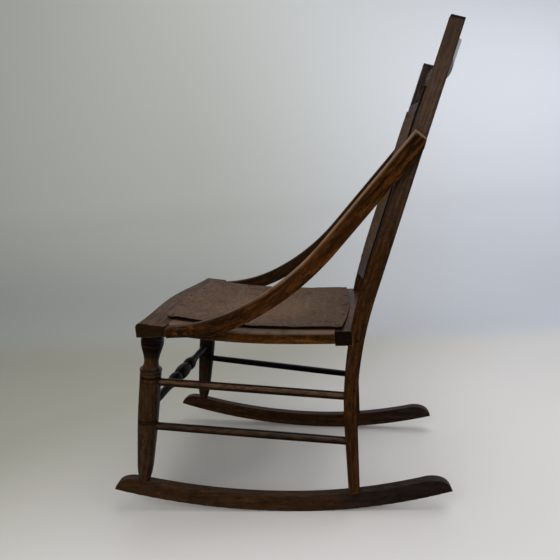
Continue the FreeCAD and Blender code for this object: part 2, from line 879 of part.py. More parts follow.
panel_radius, panel_centre = bow_centre(panel_rail_set_back, panel_rail_bow)
middle_high = middle_low + middle_mid_height
middle_rail = bowed(panel_radius, panel_centre, panel_rail_thick, post_inner, middle_low, middle_high)
middle_rail = crowned(middle_rail, middle_low, middle_end_height, middle_mid_height)
middle_rail, middle_tenon = with_tenons(middle_rail, panel_rail_set_back, middle_low, middle_end_height)

lower_high = lower_low + lower_height
lower_rail = bowed(panel_radius, panel_centre, panel_rail_thick, post_inner, lower_low, lower_high)
lower_rail, lower_tenon = with_tenons(lower_rail, panel_rail_set_back, lower_low, lower_height)
post = post.cut([crest_tenon, middle_tenon, lower_tenon])

# Back panel: a thin sheet bent over the fronts of the middle and lower rails
sheet_radius = panel_radius - sheet_clear - back_panel_thick
sheet_half = post_inner - back_panel_side_gap
sheet_low = lower_high - back_panel_low_lap
sheet_high = middle_low + back_panel_high_lap
back_panel = bowed(sheet_radius, panel_centre, back_panel_thick, sheet_half, sheet_low, sheet_high)
back_panel = place_back(back_panel)

# Tacks round the edges of both sheets, with domed heads
dome_turns = [math.radians(25 * i) for i in range(4)]
dome = [(tack_len + tack_head_high * math.sin(a), tack_head_dia * math.cos(a)) for a in dome_turns]


def tack(face, inward):
    return turned(face + inward * tack_len, face, [
        [(0, tack_tip_dia), (tack_dia, tack_dia)],
        [(tack_dia, tack_dia), (tack_len, tack_dia)],
        dome,
    ])


def spread(reach, pitch):
    """Evenly spaced places from -reach to +reach, about a pitch apart."""
    count = max(1, round(2 * reach / pitch))
    return [-reach + 2 * reach * i / count for i in range(count + 1)]


def seat_tack(x, y):
    slope = seat_slope(y)
    face = vec(x, y, seat_z(y) + sheet_clear + seat_panel_thick)
    return tack(face, vec(0, math.sin(slope), -math.cos(slope)))


seat_tacks = []
for half, edge_y, bow, inset in (
    (panel_front_half, panel_front_y, -seat_panel_front_bow, tack_inset),
    (panel_rear_half, panel_rear_y, seat_panel_rear_bow, -tack_inset),
):
    for x in spread(half - tack_inset, seat_tack_pitch):
        seat_tacks.append(seat_tack(x, edge_y + bow * (1 - (x / half) ** 2) + inset))
side_middle = (panel_front_y + panel_rear_y) / 2
for y in spread((panel_rear_y - panel_front_y) / 2 - tack_inset, seat_tack_pitch)[1:-1]:
    share = (side_middle + y - panel_front_y) / (panel_rear_y - panel_front_y)
    x = panel_front_half + (panel_rear_half - panel_front_half) * share - tack_inset
    seat_tacks += [seat_tack(x, side_middle + y), seat_tack(-x, side_middle + y)]

back_tacks = []
for x in spread(sheet_half - tack_inset, back_tack_pitch):
    face = bow_point(x, sheet_radius, panel_centre)
    inward = (face - vec(0, panel_centre, 0)).normalize()
    for t in (sheet_low + tack_inset, sheet_high - tack_inset):
        back_tacks.append(place_back(tack(face + UP * t, inward)))

keep_pair("rocker", rocker)
keep_pair("front_leg", leg)
keep_pair("rear_post", post)
keep("seat_front_rail", front_rail)
keep_pair("seat_side_rail", side_rail)
keep("seat_rear_rail", rear_rail)
keep("seat_panel", seat_panel)
keep_group("seat_tacks", seat_tacks)
keep_group_both_sides("seat_dowels", dowels)
keep_pair("hip_rail", hip_rail)
keep_group_both_sides("hip_rail_screws", screws)
keep_group_both_sides("hip_rail_plugs", plugs)
keep("crest_rail", crest)
keep("middle_back_rail", middle_rail)
keep("lower_back_rail", lower_rail)
keep("back_panel", back_panel)
keep_group("back_tacks", back_tacks)
keep_pair("upper_rung", side_rungs[0])
keep_pair("lower_rung", side_rungs[1])
keep("front_rung", front_rung)
keep("rear_rung", rear_rung)
keep_group_both_sides("post_dowels", [post_dowel])
keep_group_both_sides("post_nails", [nail])

# The origin is on the floor under the middle of the chair
whole = Part.makeCompound(list(nodes.values())).optimalBoundingBox(False)
centre_y = (whole.YMin + whole.YMax) / 2
os.makedirs("parts", exist_ok=True)
for name, shape in nodes.items():
    shape.translate(vec(0, -centre_y, 0))
    shape.exportStep("parts/" + name + ".step")
print("size", round(whole.XLength, 1), round(whole.YLength, 1), round(whole.ZLength, 1))
print("moved forward", round(centre_y, 2))
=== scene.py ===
import math

import bpy
import numpy as np
from mathutils import Matrix, Vector


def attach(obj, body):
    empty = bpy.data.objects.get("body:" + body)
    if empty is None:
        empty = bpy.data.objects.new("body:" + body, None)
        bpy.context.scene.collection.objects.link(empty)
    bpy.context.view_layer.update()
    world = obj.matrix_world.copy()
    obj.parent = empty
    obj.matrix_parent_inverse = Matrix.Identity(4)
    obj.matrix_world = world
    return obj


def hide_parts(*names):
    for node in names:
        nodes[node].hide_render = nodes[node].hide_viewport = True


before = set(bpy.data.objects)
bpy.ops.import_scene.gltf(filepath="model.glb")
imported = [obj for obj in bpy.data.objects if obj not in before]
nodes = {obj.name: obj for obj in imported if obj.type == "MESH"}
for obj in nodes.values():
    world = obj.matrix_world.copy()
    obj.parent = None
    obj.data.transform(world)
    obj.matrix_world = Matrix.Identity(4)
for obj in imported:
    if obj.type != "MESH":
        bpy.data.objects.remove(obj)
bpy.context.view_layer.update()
print("frame loaded:", len(nodes), "nodes")


def tint(red, green, blue):  # screen colour 0 to 255, to linear
    return tuple(c / 12.92 if c <= 0.04045 else ((c + 0.055) / 1.055) ** 2.4
                 for c in (red / 255, green / 255, blue / 255)) + (1.0,)


class Wire:  # a socket that takes part in sums
    def __init__(self, finish, socket):
        self.finish = finish
        self.socket = socket

    def maths(self, operation, first, second):
        return self.finish.node("ShaderNodeMath", {"operation": operation}, {0: first, 1: second})

    def __add__(self, other):
        return self.maths("ADD", self, other)

    def __radd__(self, other):
        return self.maths("ADD", other, self)

    def __sub__(self, other):
        return self.maths("SUBTRACT", self, other)

    def __rsub__(self, other):
        return self.maths("SUBTRACT", other, self)

    def __mul__(self, other):
        return self.maths("MULTIPLY", self, other)

    def __rmul__(self, other):
        return self.maths("MULTIPLY", other, self)

    def least(self, other):
        return self.maths("MINIMUM", self, other)

    def most(self, other):
        return self.maths("MAXIMUM", self, other)

    def size(self):
        return self.maths("ABSOLUTE", self, 0)

    def sine(self):
        return self.maths("SINE", self, 0)

    def ease(self, low, high, share=1.0):  # smooth step from 0 at low to a share at high
        return self.finish.node("ShaderNodeMapRange", {"interpolation_type": "SMOOTHSTEP"},
                                {"Value": self, "From Min": low, "From Max": high, "To Max": share})


edgeRays = 6  # samples of the bevel and crevice nodes
noiseMiddle = 0.5  # what a noise comes to on average


class Finish:  # the node tree of one material, or of the room
    def __init__(self, owner):
        self.owner = owner
        owner.use_nodes = True
        self.tree = owner.node_tree
        self.tree.nodes.clear()

    def node(self, kind, settings, sockets, out=0):
        made = self.tree.nodes.new(kind)
        for key, value in settings.items():
            if key == "stops":
                ramp = made.color_ramp
                for i, (position, colour) in enumerate(value):
                    stop = ramp.elements[i] if i < 2 else ramp.elements.new(position)  # a new ramp has two
                    stop.position = position
                    stop.color = colour
            else:
                setattr(made, key, value)
        for key, value in sockets.items():
            if isinstance(value, Wire):
                self.tree.links.new(value.socket, made.inputs[key])
            else:
                made.inputs[key].default_value = value
        return Wire(self, made.outputs[out]) if len(made.outputs) else None

    def blend(self, share, first, second):
        return self.node("ShaderNodeMix", {"data_type": "RGBA", "clamp_factor": True},
                         {0: share, 6: first, 7: second}, 2)

    def vector(self, operation, first, second, out=0):
        return self.node("ShaderNodeVectorMath", {"operation": operation}, {0: first, 1: second}, out)

    def distance(self, place, spot):
        return self.vector("DISTANCE", place, tuple(spot), "Value")

    def along(self, place, way):
        return self.vector("DOT_PRODUCT", place, way, "Value")

    def place(self):
        return self.node("ShaderNodeTexCoord", {}, {}, "Object")

    def normal(self):
        return self.node("ShaderNodeNewGeometry", {}, {}, "Normal")

    def axes(self, place):
        return [self.node("ShaderNodeSeparateXYZ", {}, {0: place}, i) for i in range(3)]

    def joined(self, x, y, z):
        return self.node("ShaderNodeCombineXYZ", {}, {0: x, 1: y, 2: z})

    def noise(self, place, stretch, detail, roughness=0.55):
        return self.node("ShaderNodeTexNoise", {},
                         {"Vector": self.vector("MULTIPLY", place, stretch), "Scale": 1.0,
                          "Detail": detail, "Roughness": roughness}, "Fac")

    def noises(self, place, rows):
        return {name: self.noise(place, *row) for name, row in rows.items()}

    def softEdges(self, radius):
        return self.node("ShaderNodeBevel", {"samples": edgeRays}, {"Radius": radius})

    def edges(self, radius):  # 0 on flats, more on sharp edges
        return 1 - self.along(self.softEdges(radius), self.normal())

    def crevices(self, distance):  # 0 in the open, 1 deep in corners
        return 1 - self.node("ShaderNodeAmbientOcclusion", {"samples": edgeRays},
                             {"Distance": distance}, "AO")

    def bump(self, height, strength, distance, radius):
        return self.node("ShaderNodeBump", {}, {"Height": height, "Strength": strength, "Distance": distance,
                                                "Normal": self.softEdges(radius)})

    def close(self, kind, shader):
        self.node(kind, {}, {"Surface": shader})
        return self.owner


def finishNamed(name):
    return Finish(bpy.data.materials.new(name))


def weighed(noise, weights):  # sum of noises, each times its weight
    return sum(noise[name] * weight for name, weight in weights.items())


def dress(nodeName, material):
    slots = nodes[nodeName].data.materials
    slots.clear()
    slots.append(material)


endDepth = 0.0005  # what counts as the outer end of a piece


def looseParts(mesh, outward=None):  # middle of each separate piece of a mesh, or of its outer end
    owner = list(range(len(mesh.vertices)))

    def root(i):
        while owner[i] != i:
            owner[i] = owner[owner[i]]
            i = owner[i]
        return i

    for edge in mesh.edges:
        a, b = root(edge.vertices[0]), root(edge.vertices[1])
        if a != b:
            owner[a] = b
    groups = {}
    for vertex in mesh.vertices:
        groups.setdefault(root(vertex.index), []).append(vertex.co)
    middles = []
    for group in groups.values():
        if outward:
            end = max(spot.dot(outward) for spot in group)
            group = [spot for spot in group if spot.dot(outward) > end - endDepth]
        middles.append(sum(group, Vector()) / len(group))
    return middles


# The back leans on one plane: x across, and t up the rake from where the posts turn straight
backTurn = math.radians(19.5)
backFoot = Vector((0, 0.18133, 0.46806))
backUp = Vector((0, math.sin(backTurn), math.cos(backTurn)))
backIn = Vector((0, math.cos(backTurn), -math.sin(backTurn)))  # from the front, into the back

# Old stained wood: grain along one way, mottled stain, dark pores, rubbed edges, painted sheen and
# highlights, corners darkened by dirt and painted shade
# A tone towards one end holds an axis, where it starts and is full, its dark and light shade, and its share;
# on the rear posts it is a greyish painted sheen high up
woodBase = {
    "along": (0, 1, 0), "seed": (0.0, 0.0, 0.0), "bend": None, "sweep": None, "bands": (), "cap": None,
    "deep": tint(24, 12, 2), "middle": tint(48, 25, 2), "warm": tint(90, 51, 9), "pore": tint(15, 9, 5),
    "rubbedAndSheen": tint(120, 92, 66), "endGrain": tint(24, 15, 5), "grimeAndShade": tint(13, 8, 5),
    "patches": 0.5, "edgeWear": 0.55, "edgeRadius": 0.003, "unworn": (), "pressed": 0.0,
    "topSheen": 0.0, "topReach": 0.007, "topFrom": (0.0, 0.01), "sideHighlight": 0.0, "endTone": None,
    "gloss": 0.4, "shine": 0.1, "coat": 0.06,
}
# Noises: stretch along the grain and across it, detail, roughness
grainNoise = {
    "sway": ((4, 22, 22), 2.0), "streak": ((4.5, 190, 190), 5.0, 0.6), "mottle": ((55, 150, 150), 5.0, 0.65),
    "speck": ((210, 640, 640), 2.0), "pores": ((55, 1900, 1900), 2.0, 0.6), "worn": ((6, 20, 20), 3.0),
    "scuffs": ((30, 130, 130), 4.0),
}
wearNoise = {"rubbing": ((48, 48, 48), 4.0), "dust": ((16, 16, 16), 4.0)}
figureWeights = {"streak": 0.24, "mottle": 0.46, "speck": 0.3, "rings": 0.03}
reliefWeights = {"streak": 0.5, "pores": -0.7, "scuffs": 0.35, "dust": 0.5, "speck": 0.15}
# Steps: none at the first value, full at the second, and the share when full
woodSteps = {
    "warmPatch": (0.5, 0.72), "deepPatch": (0.48, 0.28), "pores": (0.55, 0.72), "endGrain": (0.8, 0.95, 0.92),
    "endToneFigure": (0.38, 0.62), "side": (0.8, 1.0), "sideMottle": (0.38, 0.62, 0.65),
    "capLength": (0.075, 0.045, 0.28), "capEnd": (0.007, 0.003, 0.75), "edges": (0.02, 0.22),
    "rubbing": (0.3, 0.66), "top": (0.12, 0.45), "topSheenPatches": (0.2, 0.5), "grimeAndShade": (0.35, 0.9, 0.75),
    "pressed": (0.12, 0.55), "scuffs": (0.52, 0.75, 0.12),
}
# Rings go by waves per metre twice across the grain and by sway, bump by strength, depth and edge radius
woodMeasures = {
    "stops": (("deep", 0.39), ("middle", 0.5), ("warm", 0.62)), "rings": (620, 240, 26), "poreShare": 0.6,
    "sideWay": (0.86, 0.5), "sideLeast": 0.35, "plugRim": 0.85, "grimeShadeReach": 0.012, "pressedReach": 0.0035,
    "dustRough": 0.18, "wornRough": 0.1, "grimeShadeRough": 0.2, "coatLost": 0.6, "coatRough": 0.1,
    "bump": (0.35, 0.0005, 0.0014),
}


def straightened(finish, look):  # place on a piece as if it were straight, and the way of its grain
    place = finish.place()
    way = Vector(look["along"]).normalized()
    if look["bend"]:  # a bent post: upright, then curved, then raked
        start, length, slope = look["bend"]
        x, y, z = finish.axes(place)
        rise = (z - start).most(0.0)
        curved = rise.least(length)
        y = y - curved * curved * (slope / (2 * length)) - (rise - curved) * slope
        place = finish.joined(x, y, z)
    if look["sweep"]:  # a swept rail: heights above its own curve
        x, y, z = finish.axes(place)
        curve = look["sweep"][0]
        for factor in look["sweep"][1:]:
            curve = y * curve + factor
        place = finish.joined(x, y, z - curve)
        way = Vector((0, 1, 0))
    return place, way


def stainColour(finish, look, here, grain, noise):
    lengthwise, acrossOne, acrossTwo = finish.axes(grain)
    one, two, sway = woodMeasures["rings"]
    noise["rings"] = (acrossOne * one + acrossTwo * two + noise["sway"] * sway).sine()  # cut slantwise
    figure = weighed(noise, figureWeights)
    stops = [(position, look[tone]) for tone, position in woodMeasures["stops"]]
    colour = finish.node("ShaderNodeValToRGB", {"stops": stops}, {0: figure})
    for step, tone in (("warmPatch", "warm"), ("deepPatch", "deep")):
        colour = finish.blend(noise["worn"].ease(*woodSteps[step], look["patches"]), colour, look[tone])
    colour = finish.blend(noise["pores"] * woodMeasures["poreShare"], colour, look["pore"])
    facing = finish.along(finish.normal(), Vector(look["along"]).normalized()).size()
    colour = finish.blend(facing.ease(*woodSteps["endGrain"]), colour, look["endGrain"])
    if look["endTone"]:  # another tone towards one end; on the rear posts a greyish painted sheen high up
        axis, low, high, dark, light, share = look["endTone"]
        shade = finish.blend(figure.ease(*woodSteps["endToneFigure"]), dark, light)
        colour = finish.blend(finish.axes(here)[axis].ease(low, high, share), colour, shade)
    if look["sideHighlight"]:  # painted highlight: paler along the sides of a rung, a little above its middle
        tilt = finish.axes(finish.normal())
        sideways, upwards = woodMeasures["sideWay"]
        side = (tilt[0].size() * sideways + tilt[2] * upwards).ease(*woodSteps["side"], look["sideHighlight"])
        patchy = woodMeasures["sideLeast"] + noise["mottle"].ease(*woodSteps["sideMottle"])
        colour = finish.blend(side * patchy, colour, look["rubbedAndSheen"])
    for centre, half, share in look["bands"]:  # dark bands round a turning: scored rings, and painted shade on the leg's bulb
        colour = finish.blend((lengthwise - centre).size().ease(half, half / 2, share), colour, look["pore"])
    if look["cap"]:  # dark end of a post, at a distance up the rake, and a darker length below it
        below = look["cap"] - finish.along(here, backUp)
        for step in ("capLength", "capEnd"):
            colour = finish.blend(below.ease(*woodSteps[step]), colour, look["pore"])
    return colour


def wearAndSheenShare(finish, look, here, noise):
    share = finish.edges(look["edgeRadius"]).ease(*woodSteps["edges"], look["edgeWear"])
    share = share * noise["rubbing"].ease(*woodSteps["rubbing"])
    if look["topSheen"]:  # painted sheen: upper faces and edges paler, in patches
        top = finish.axes(finish.softEdges(look["topReach"]))[2].ease(*woodSteps["top"], look["topSheen"])
        top = top * noise["rubbing"].ease(*woodSteps["topSheenPatches"])
        share = share.most(top * finish.axes(here)[2].ease(*look["topFrom"]))
    for plug, clear in look["unworn"]:  # no wear round the flush plugs
        share = share * finish.distance(here, plug).ease(clear * woodMeasures["plugRim"], clear)
    return share


# darker in crevices and corners: dirt and painted shade
def grimeAndShadeShare(finish, look):
    share = finish.crevices(woodMeasures["grimeShadeReach"]).ease(*woodSteps["grimeAndShade"])
    if look["pressed"]:  # dirt left in the low places of the pressing
        low = finish.crevices(woodMeasures["pressedReach"])
        share = share.most(low.ease(*woodSteps["pressed"], look["pressed"]))
    return share


def stainedWood(name, **changes):
    look = dict(woodBase, **changes)
    finish = finishNamed(name)
    here = finish.place()
    place, way = straightened(finish, look)
    turn = way.rotation_difference(Vector((1, 0, 0))).to_euler()
    grain = finish.node("ShaderNodeMapping", {},
                        {"Vector": place, "Rotation": turn, "Location": look["seed"]})
    noise = dict(finish.noises(grain, grainNoise), **finish.noises(place, wearNoise))
    noise["pores"] = noise["pores"].ease(*woodSteps["pores"])
    # worn holds the rubbed edges and the painted sheen on upper faces
    worn = wearAndSheenShare(finish, look, here, noise)
    grimeAndShade = grimeAndShadeShare(finish, look)
    colour = finish.blend(worn, stainColour(finish, look, here, grain, noise), look["rubbedAndSheen"])
    rough = look["gloss"] + woodMeasures["dustRough"] * (noise["dust"] - noiseMiddle)
    rough = rough + noise["scuffs"].ease(*woodSteps["scuffs"])
    rough = rough + woodMeasures["wornRough"] * worn + woodMeasures["grimeShadeRough"] * grimeAndShade
    shader = finish.node("ShaderNodeBsdfPrincipled", {}, {
        "Base Color": finish.blend(grimeAndShade, colour, look["grimeAndShade"]), "Roughness": rough,
        "Coat Weight": look["coat"] * (1 - woodMeasures["coatLost"] * worn),
        "Coat Roughness": woodMeasures["coatRough"], "Specular IOR Level": look["shine"],
        "Normal": finish.bump(weighed(noise, reliefWeights), *woodMeasures["bump"]),
    })
    return finish.close("ShaderNodeOutputMaterial", shader)


# Where pieces run, for their grain and wear: the axis of the left leg, the bend and top of a post
legFoot = Vector((0.204, -0.30845, 0.03))
legTop = Vector((0.197, -0.25145, 0.3965))
legWay = (legTop - legFoot).normalized()
postBend = (0.19, 0.278, 0.354)  # height where the bend starts, its rise, and the slope above it
postTop = max(v.co.dot(backUp) for v in nodes["rear_post_left"].data.vertices)
plugClear = 0.0115  # radius round a plug that stays unworn
seedSteps = {"piece": (0.37, 0.23, 0.0), "side": (1.9, 0.0, 0.11)}  # no two pieces show the same grain


def upTheLeg(height):  # place along the leg's axis, at a height above the floor
    share = (height - legFoot.z) / (legTop.z - legFoot.z)
    return (legFoot + (legTop - legFoot) * share).dot(legWay)


def sweepOf(mesh, order=4):  # a rail's curve, its height as a polynomial of y
    spots = np.array([tuple(v.co) for v in mesh.vertices])
    return tuple(float(f) for f in np.polyfit(spots[:, 1], spots[:, 2], order))


# Which way each piece's grain runs, and its own shade of the stain
# The right-hand one of a pair stands in shade: its own entry holds what differs, mostly darker and greyer
# colours of painted shade
# "rings" holds the height, half width and share of each dark band: scored rings, and painted shade on the
# leg's bulb
woodPieces = {
    "rocker": {
        "sides": True, "along": (-0.05, 1, 0), "patches": 0.3, "gloss": 0.44,
        "deep": tint(28, 17, 8), "middle": tint(48, 31, 16), "warm": tint(68, 44, 23),
        "endTone": (1, -0.04, 0.2, tint(19, 13, 11), tint(37, 27, 24), 0.95),
        "shadedFar": {"deep": tint(25, 14, 7), "middle": tint(42, 26, 13), "warm": tint(60, 37, 19),
                "endTone": (1, 0.1, 0.3, tint(26, 19, 17), tint(48, 36, 33), 0.9)},
    },
    "front_leg": {
        "sides": True, "along": tuple(legWay), "patches": 0.35, "edgeWear": 0.2, "gloss": 0.3, "coat": 0.4,
        "deep": tint(26, 15, 6), "middle": tint(44, 28, 14), "warm": tint(64, 41, 20), "pore": tint(6, 4, 3),
        "endTone": (2, 0.22, 0.1, tint(32, 21, 13), tint(62, 43, 29), 0.7),
        # the wide band at 0.385 is painted shade on the bulb under the seat, in the near-black pore tone
        "rings": ((0.2085, 0.0022, 0.8), (0.2135, 0.0022, 0.8), (0.385, 0.042, 0.93), (0.349, 0.0018, 0.6),
                  (0.3535, 0.0016, 0.6), (0.3225, 0.0026, 0.85), (0.3065, 0.0032, 0.9), (0.297, 0.0016, 0.7)),
        "shadedFar": {"deep": tint(9, 6, 4), "middle": tint(20, 13, 7), "warm": tint(38, 24, 12), "coat": 0.1},
    },
    "rear_post": {
        "sides": True, "along": (0, 0, 1), "bend": postBend, "cap": postTop,
        "patches": 0.35, "shine": 0.0, "coat": 0.0,
        "deep": tint(27, 16, 7), "middle": tint(44, 27, 12), "warm": tint(66, 41, 18),
        # greyer up the post: painted sheen
        "endTone": (2, 0.5, 0.8, tint(58, 46, 38), tint(80, 65, 54), 0.88),
        "shadedFar": {"endTone": (2, 0.45, 0.7, tint(30, 24, 23), tint(64, 55, 53), 0.85), "coat": 0.5},
    },
    "hip_rail": {
        "sides": True, "along": (-0.03, 0.82, 0.57), "sweep": sweepOf(nodes["hip_rail_left"].data),
        "unworn": [(spot, plugClear) for spot in looseParts(nodes["hip_rail_plugs"].data)],
        "deep": tint(12, 6, 1), "middle": tint(35, 18, 3), "warm": tint(82, 45, 10),
        # paler top: painted sheen, faint on the right-hand rail that stands in shade
        "patches": 0.3, "edgeWear": 0.3, "topSheen": 0.7, "topFrom": (0.425, 0.53),
        "shadedFar": {"deep": tint(18, 11, 6), "middle": tint(33, 20, 10), "warm": tint(54, 34, 16),
                "topSheen": 0.1},
    },
    "seat_side_rail": {
        # grey top: painted sheen
        "sides": True, "along": (-0.04, 1, 0), "middle": tint(50, 28, 3), "rubbedAndSheen": tint(96, 83, 70),
        "topSheen": 0.6, "topReach": 0.004,
    },
    "upper_rung": {
        # pale sides: painted highlight
        "sides": True, "along": (-0.07, 1, -0.1), "gloss": 0.3, "coat": 0.3, "sideHighlight": 0.58,
        "deep": tint(13, 8, 5), "middle": tint(24, 15, 8), "warm": tint(42, 26, 13),
        "rubbedAndSheen": tint(102, 74, 50),
    },
    "lower_rung": {
        # pale sides: painted highlight
        "sides": True, "along": (-0.07, 1, -0.1), "gloss": 0.3, "coat": 0.3, "sideHighlight": 0.42,
        "deep": tint(12, 8, 5), "middle": tint(22, 14, 8), "warm": tint(38, 24, 13),
        "rubbedAndSheen": tint(80, 58, 39),
        # near black: painted shade under the seat
        "shadedFar": {"deep": tint(4, 3, 2), "middle": tint(8, 6, 5), "warm": tint(14, 10, 8), "sideHighlight": 0.0,
                "coat": 0.1},
    },
    "seat_front_rail": {
        "along": (1, 0, 0), "middle": tint(58, 40, 25), "warm": tint(86, 62, 40), "shine": 0.05, "coat": 0.0,
    },
    # end grain near black, partly painted shade
    "seat_rear_rail": {"along": (1, 0, 0), "endGrain": tint(9, 7, 6)},
    "crest_rail": {
        "along": (1, 0, 0), "deep": tint(24, 14, 7), "middle": tint(44, 28, 16), "warm": tint(70, 46, 27),
        "coat": 0.7,
    },
    "middle_back_rail": {
        "along": (1, 0, 0), "deep": tint(18, 11, 6), "middle": tint(34, 21, 13), "warm": tint(56, 35, 22),
    },
    "lower_back_rail": {
        "along": (1, 0, 0), "deep": tint(20, 12, 6), "middle": tint(38, 24, 13), "warm": tint(60, 39, 22),
    },
    "front_rung": {
        "along": (1, 0, 0), "gloss": 0.34, "coat": 0.07, "shine": 0.03, "patches": 0.2,
        "deep": tint(10, 7, 5), "middle": tint(20, 13, 9), "warm": tint(34, 22, 15),
    },
    "rear_rung": {"along": (1, 0, 0), "gloss": 0.32, "deep": tint(20, 12, 8), "middle": tint(36, 23, 14)},
}


def finishWood(index, name, settings):
    look = dict(settings)
    shadedFar = look.pop("shadedFar", {})
    rings = look.pop("rings", ())
    pair = look.pop("sides", False)
    x, y, z = look["along"]
    for side, nodeName in enumerate([name + "_left", name + "_right"] if pair else [name]):
        look["seed"] = [piece * index + step * side for piece, step in zip(*seedSteps.values())]
        look["along"] = (-x if side else x, y, z)
        look["bands"] = [(upTheLeg(height) + look["seed"][0], half, share) for height, half, share in rings]
        # the right-hand piece takes the darker colours of painted shade
        own = dict(look, **shadedFar) if side else look
        dress(nodeName, stainedWood("wood." + nodeName, **own))


for index, (name, settings) in enumerate(woodPieces.items()):
    finishWood(index, name, settings)
print("wood finishes done")

# Pressed fibre sheet: fine mottle and fibre, stains, scuffs, rust round the tacks, dark cut edges and
# crevices that are partly painted shade
sheetLook = {
    "base": tint(66, 47, 33), "dark": tint(41, 27, 18), "pale": tint(103, 80, 60), "edge": tint(34, 22, 16),
    "gloss": 0.66, "shine": 0.15, "stainRough": 0.2, "fibreRough": 0.12, "rubsSmooth": (0.5, 0.75, 0.1),
    "tacks": (), "rust": (0.006, 0.0028, 0.85), "satOn": None, "sat": (0.17, 0.05, 0.45),
    "satLeast": 0.4, "satSpeck": (0.4, 0.6, 0.6), "edgeRadius": 0.0025, "edgeStep": (0.03, 0.3, 0.5),
    "grimeShadeReach": 0.008, "grimeShadeStep": (0.3, 0.85, 0.7), "bump": (0.4, 0.0004, 0.001),
}
sheetNoise = {
    "cloud": ((13, 13, 13), 4.0), "fibre": ((620, 210, 400), 4.0, 0.65), "grit": ((900, 900, 900), 2.0),
    "speck": ((170, 120, 170), 4.0, 0.6), "stain": ((34, 22, 34), 5.0, 0.6), "rubs": ((9, 60, 30), 4.0, 0.6),
}
sheetTones = (  # noise, tone, and the step that lays it on
    ("cloud", "dark", (0.3, 0.7, 0.5)), ("fibre", "pale", (0.45, 0.72, 0.6)),
    ("speck", "pale", (0.5, 0.66, 0.55)), ("speck", "dark", (0.48, 0.32, 0.5)),
    ("stain", "dark", (0.54, 0.74, 0.65)), ("rubs", "pale", (0.55, 0.74, 0.15)),
)
sheetRelief = {"fibre": 0.6, "grit": 0.3, "cloud": 0.5}


def pressedSheet(name, **changes):
    look = dict(sheetLook, **changes)
    finish = finishNamed(name)
    place = finish.place()
    noise = finish.noises(place, sheetNoise)
    colour = look["base"]
    for layer, tone, step in sheetTones:
        colour = finish.blend(noise[layer].ease(*step), colour, look[tone])
    if look["satOn"]:  # paler where it is sat on
        sat = finish.distance(place, look["satOn"]).ease(*look["sat"])
        patchy = look["satLeast"] + noise["speck"].ease(*look["satSpeck"])
        colour = finish.blend(sat * patchy, colour, look["pale"])
    for tack in look["tacks"]:
        colour = finish.blend(finish.distance(place, tack).ease(*look["rust"]), colour, look["edge"])
    # cut edges and crevices darker: partly painted shade
    colour = finish.blend(finish.edges(look["edgeRadius"]).ease(*look["edgeStep"]), colour, look["edge"])
    colour = finish.blend(finish.crevices(look["grimeShadeReach"]).ease(*look["grimeShadeStep"]), colour, look["edge"])
    rough = look["gloss"] + look["stainRough"] * (noise["stain"] - noiseMiddle)
    rough = rough + look["fibreRough"] * noise["fibre"]
    shader = finish.node("ShaderNodeBsdfPrincipled", {}, {
        "Base Color": colour, "Roughness": rough - noise["rubs"].ease(*look["rubsSmooth"]),
        "Specular IOR Level": look["shine"],
        "Normal": finish.bump(weighed(noise, sheetRelief), *look["bump"]),
    })
    return finish.close("ShaderNodeOutputMaterial", shader)


seatFinish = pressedSheet("sheet.seat", satOn=(0.03, -0.04, 0.4),
                          tacks=looseParts(nodes["seat_tacks"].data, Vector((0, 0, 1))))
backFinish = pressedSheet("sheet.back", tacks=looseParts(nodes["back_tacks"].data, -backIn))
# near black cut edge: dark stain and painted shade of the slit beneath
sheetEdgeShadeFinish = pressedSheet("sheet.cutEdgeShaded", base=tint(16, 10, 8), dark=tint(9, 6, 5),
                               pale=tint(28, 18, 14), edge=tint(10, 7, 6), gloss=0.7)
dress("seat_panel", seatFinish)
dress("back_panel", backFinish)

# Dark iron of the tacks and nails, bare steel of the screws
ironLook = {
    "base": tint(16, 12, 10), "rust": tint(40, 24, 15), "gloss": 0.5, "metal": 0.4, "rustStep": (0.48, 0.72),
    "rustShare": 0.7, "rustRough": 0.25, "rustDull": 0.5, "bump": (0.3, 0.0001, 0.0004),
}
ironNoise = {"rust": ((700, 700, 700), 4.0), "pits": ((2400, 2400, 2400), 2.0)}
screwLook = {"base": tint(150, 146, 140), "gloss": 0.35, "metal": 1.0}


def oldIron(name, **changes):
    look = dict(ironLook, **changes)
    finish = finishNamed(name)
    noise = finish.noises(finish.place(), ironNoise)
    rusted = noise["rust"].ease(*look["rustStep"])
    shader = finish.node("ShaderNodeBsdfPrincipled", {}, {
        "Base Color": finish.blend(rusted * look["rustShare"], look["base"], look["rust"]),
        "Roughness": look["gloss"] + look["rustRough"] * rusted,
        "Metallic": look["metal"] - look["rustDull"] * rusted,
        "Normal": finish.bump(noise["pits"], *look["bump"]),
    })
    return finish.close("ShaderNodeOutputMaterial", shader)


# Stained plugs over the screws, and dowels of bare pale wood
plugLook = {
    "along": (1, 0, 0), "seed": (3.1, 0.4, 0.2), "edgeWear": 0.1, "endGrain": tint(25, 15, 8),
    "deep": tint(20, 12, 6), "middle": tint(32, 18, 8), "warm": tint(46, 27, 12),
}
dowelLook = {
    "along": (0, 1, 0), "coat": 0.0, "gloss": 0.6,
    "deep": tint(120, 86, 52), "middle": tint(168, 128, 84), "warm": tint(190, 150, 104),
    "pore": tint(96, 66, 40), "endGrain": tint(130, 94, 58), "grimeAndShade": tint(80, 56, 34),
}
ironFinish = oldIron("iron.dark")
for nodeName in ("seat_tacks", "back_tacks", "post_nails"):
    dress(nodeName, ironFinish)
dress("hip_rail_screws", oldIron("steel.screw", **screwLook))
dress("hip_rail_plugs", stainedWood("wood.plugs", **plugLook))
dowelFinish = stainedWood("wood.dowels", **dowelLook)
for nodeName in ("seat_dowels", "post_dowels"):
    dress(nodeName, dowelFinish)
print("sheet and metal finishes done")


